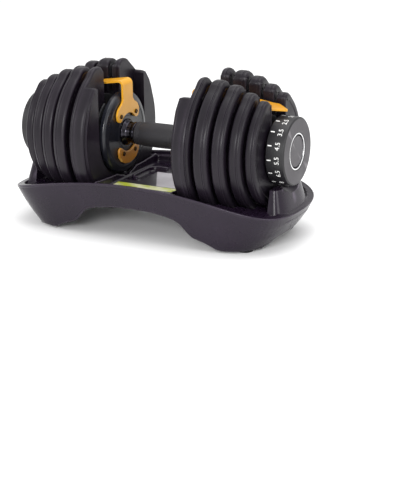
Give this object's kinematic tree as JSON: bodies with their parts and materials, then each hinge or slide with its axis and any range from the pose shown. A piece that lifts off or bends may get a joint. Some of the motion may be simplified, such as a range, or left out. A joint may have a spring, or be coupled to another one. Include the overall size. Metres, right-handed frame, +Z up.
{
  "type": "adjustable dumbbell",
  "caption": "Selector-dial adjustable dumbbell: horseshoe plates nested in a moulded storage cradle, a lift-out handle with end dials, over-arm pointers and spring lock pins.",
  "frame": {"origin": "on the floor under the middle of the cradle", "axes": "+X along the handle towards the right head, +Y to the rear, +Z up"},
  "size_m": [0.415, 0.2, 0.219],
  "materials": {
    "plate_finish": "satin charcoal coating over steel",
    "cradle_plastic": "fine grained moulded plastic, slightly violet charcoal",
    "orange_plastic": "semi gloss orange",
    "grip_rubber": "soft textured rubber",
    "collar_chrome": "polished",
    "disc_plastic": "semi gloss black plastic",
    "dial_plastic": "fine grained black plastic with white figures",
    "dial_cap_plastic": "satin dark grey",
    "selector_plastic": "satin black",
    "shaft_steel": "turned steel",
    "spring_steel": "drawn spring wire",
    "pin_steel": "ground steel",
    "screw_metal": "dark plated screw",
    "rubber_pad": "matte",
    "label": "blank printed film"
  },
  "bodies": {
    "cradle": {"cradle_tray": "cradle_plastic", "cradle_label": "label", "foot_pad_rear_right": "rubber_pad", "foot_pad_front_right": "rubber_pad", "foot_pad_rear_left": "rubber_pad", "foot_pad_front_left": "rubber_pad"},
    "handle": {"handle_shaft": "shaft_steel", "grip_sleeve": "grip_rubber", "right_collar": "collar_chrome", "right_inner_disc": "disc_plastic", "right_pointer_bracket": "orange_plastic", "right_retainer": "orange_plastic", "right_bracket_screw_rear": "screw_metal", "right_bracket_screw_front": "screw_metal", "right_retainer_screw_rear": "screw_metal", "right_retainer_screw_front": "screw_metal", "right_end_nut": "shaft_steel", "right_lock_spring": "spring_steel", "left_collar": "collar_chrome", "left_inner_disc": "disc_plastic", "left_pointer_bracket": "orange_plastic", "left_retainer": "orange_plastic", "left_bracket_screw_rear": "screw_metal", "left_bracket_screw_front": "screw_metal", "left_retainer_screw_rear": "screw_metal", "left_retainer_screw_front": "screw_metal", "left_end_nut": "shaft_steel", "left_lock_spring": "spring_steel"},
    "right_lock_pin_body": {"right_lock_pin": "pin_steel"},
    "right_dial_set": {"right_dial": "dial_plastic", "right_dial_cap": "dial_cap_plastic", "right_selector_disc_1": "selector_plastic", "right_selector_disc_2": "selector_plastic", "right_selector_disc_3": "selector_plastic", "right_selector_disc_4": "selector_plastic", "right_selector_disc_5": "selector_plastic"},
    "right_weight_1": {"right_plate_1": "plate_finish"},
    "right_weight_2": {"right_plate_2": "plate_finish"},
    "right_weight_3": {"right_plate_3": "plate_finish"},
    "right_weight_4": {"right_plate_4": "plate_finish"},
    "right_weight_5": {"right_plate_5": "plate_finish"},
    "left_lock_pin_body": {"left_lock_pin": "pin_steel"},
    "left_dial_set": {"left_dial": "dial_plastic", "left_dial_cap": "dial_cap_plastic", "left_selector_disc_1": "selector_plastic", "left_selector_disc_2": "selector_plastic", "left_selector_disc_3": "selector_plastic", "left_selector_disc_4": "selector_plastic", "left_selector_disc_5": "selector_plastic"},
    "left_weight_1": {"left_plate_1": "plate_finish"},
    "left_weight_2": {"left_plate_2": "plate_finish"},
    "left_weight_3": {"left_plate_3": "plate_finish"},
    "left_weight_4": {"left_plate_4": "plate_finish"},
    "left_weight_5": {"left_plate_5": "plate_finish"}
  },
  "joints": [
    {"name": "handle_lift", "type": "slide", "parent": "cradle", "child": "handle", "axis": [0, 0, 1], "range_m": [0, 0.22]},
    {"name": "right_dial_turn", "type": "hinge", "parent": "handle", "child": "right_dial_set", "pos_m": [0.187, 0, 0.125], "axis": [1, 0, 0], "continuous": true},
    {"name": "right_lock_pin_press", "type": "slide", "parent": "handle", "child": "right_lock_pin_body", "axis": [0, 0, 1], "range_m": [0, 0.0035], "stiffness_N_per_m": 350, "springref_m": -0.003, "deforming": ["right_lock_spring"]},
    {"name": "right_plate_1_release", "type": "slide", "parent": "handle", "child": "right_weight_1", "axis": [0, 0, 1], "range_m": [-0.22, 0]},
    {"name": "right_plate_2_release", "type": "slide", "parent": "handle", "child": "right_weight_2", "axis": [0, 0, 1], "range_m": [-0.22, 0]},
    {"name": "right_plate_3_release", "type": "slide", "parent": "handle", "child": "right_weight_3", "axis": [0, 0, 1], "range_m": [-0.22, 0]},
    {"name": "right_plate_4_release", "type": "slide", "parent": "handle", "child": "right_weight_4", "axis": [0, 0, 1], "range_m": [-0.22, 0]},
    {"name": "right_plate_5_release", "type": "slide", "parent": "handle", "child": "right_weight_5", "axis": [0, 0, 1], "range_m": [-0.22, 0]},
    {"name": "left_dial_turn", "type": "hinge", "parent": "handle", "child": "left_dial_set", "pos_m": [-0.187, 0, 0.125], "axis": [1, 0, 0], "continuous": true},
    {"name": "left_lock_pin_press", "type": "slide", "parent": "handle", "child": "left_lock_pin_body", "axis": [0, 0, 1], "range_m": [0, 0.0035], "stiffness_N_per_m": 350, "springref_m": -0.003, "deforming": ["left_lock_spring"]},
    {"name": "left_plate_1_release", "type": "slide", "parent": "handle", "child": "left_weight_1", "axis": [0, 0, 1], "range_m": [-0.22, 0]},
    {"name": "left_plate_2_release", "type": "slide", "parent": "handle", "child": "left_weight_2", "axis": [0, 0, 1], "range_m": [-0.22, 0]},
    {"name": "left_plate_3_release", "type": "slide", "parent": "handle", "child": "left_weight_3", "axis": [0, 0, 1], "range_m": [-0.22, 0]},
    {"name": "left_plate_4_release", "type": "slide", "parent": "handle", "child": "left_weight_4", "axis": [0, 0, 1], "range_m": [-0.22, 0]},
    {"name": "left_plate_5_release", "type": "slide", "parent": "handle", "child": "left_weight_5", "axis": [0, 0, 1], "range_m": [-0.22, 0]}
  ],
  "couplings": [
    {"joint": "right_plate_1_release", "follows": "handle_lift", "ratio": -1},
    {"joint": "right_plate_2_release", "follows": "handle_lift", "ratio": -1},
    {"joint": "right_plate_3_release", "follows": "handle_lift", "ratio": -1},
    {"joint": "right_plate_4_release", "follows": "handle_lift", "ratio": -1},
    {"joint": "right_plate_5_release", "follows": "handle_lift", "ratio": -1},
    {"joint": "left_plate_1_release", "follows": "handle_lift", "ratio": -1},
    {"joint": "left_plate_2_release", "follows": "handle_lift", "ratio": -1},
    {"joint": "left_plate_3_release", "follows": "handle_lift", "ratio": -1},
    {"joint": "left_plate_4_release", "follows": "handle_lift", "ratio": -1},
    {"joint": "left_plate_5_release", "follows": "handle_lift", "ratio": -1}
  ]
}
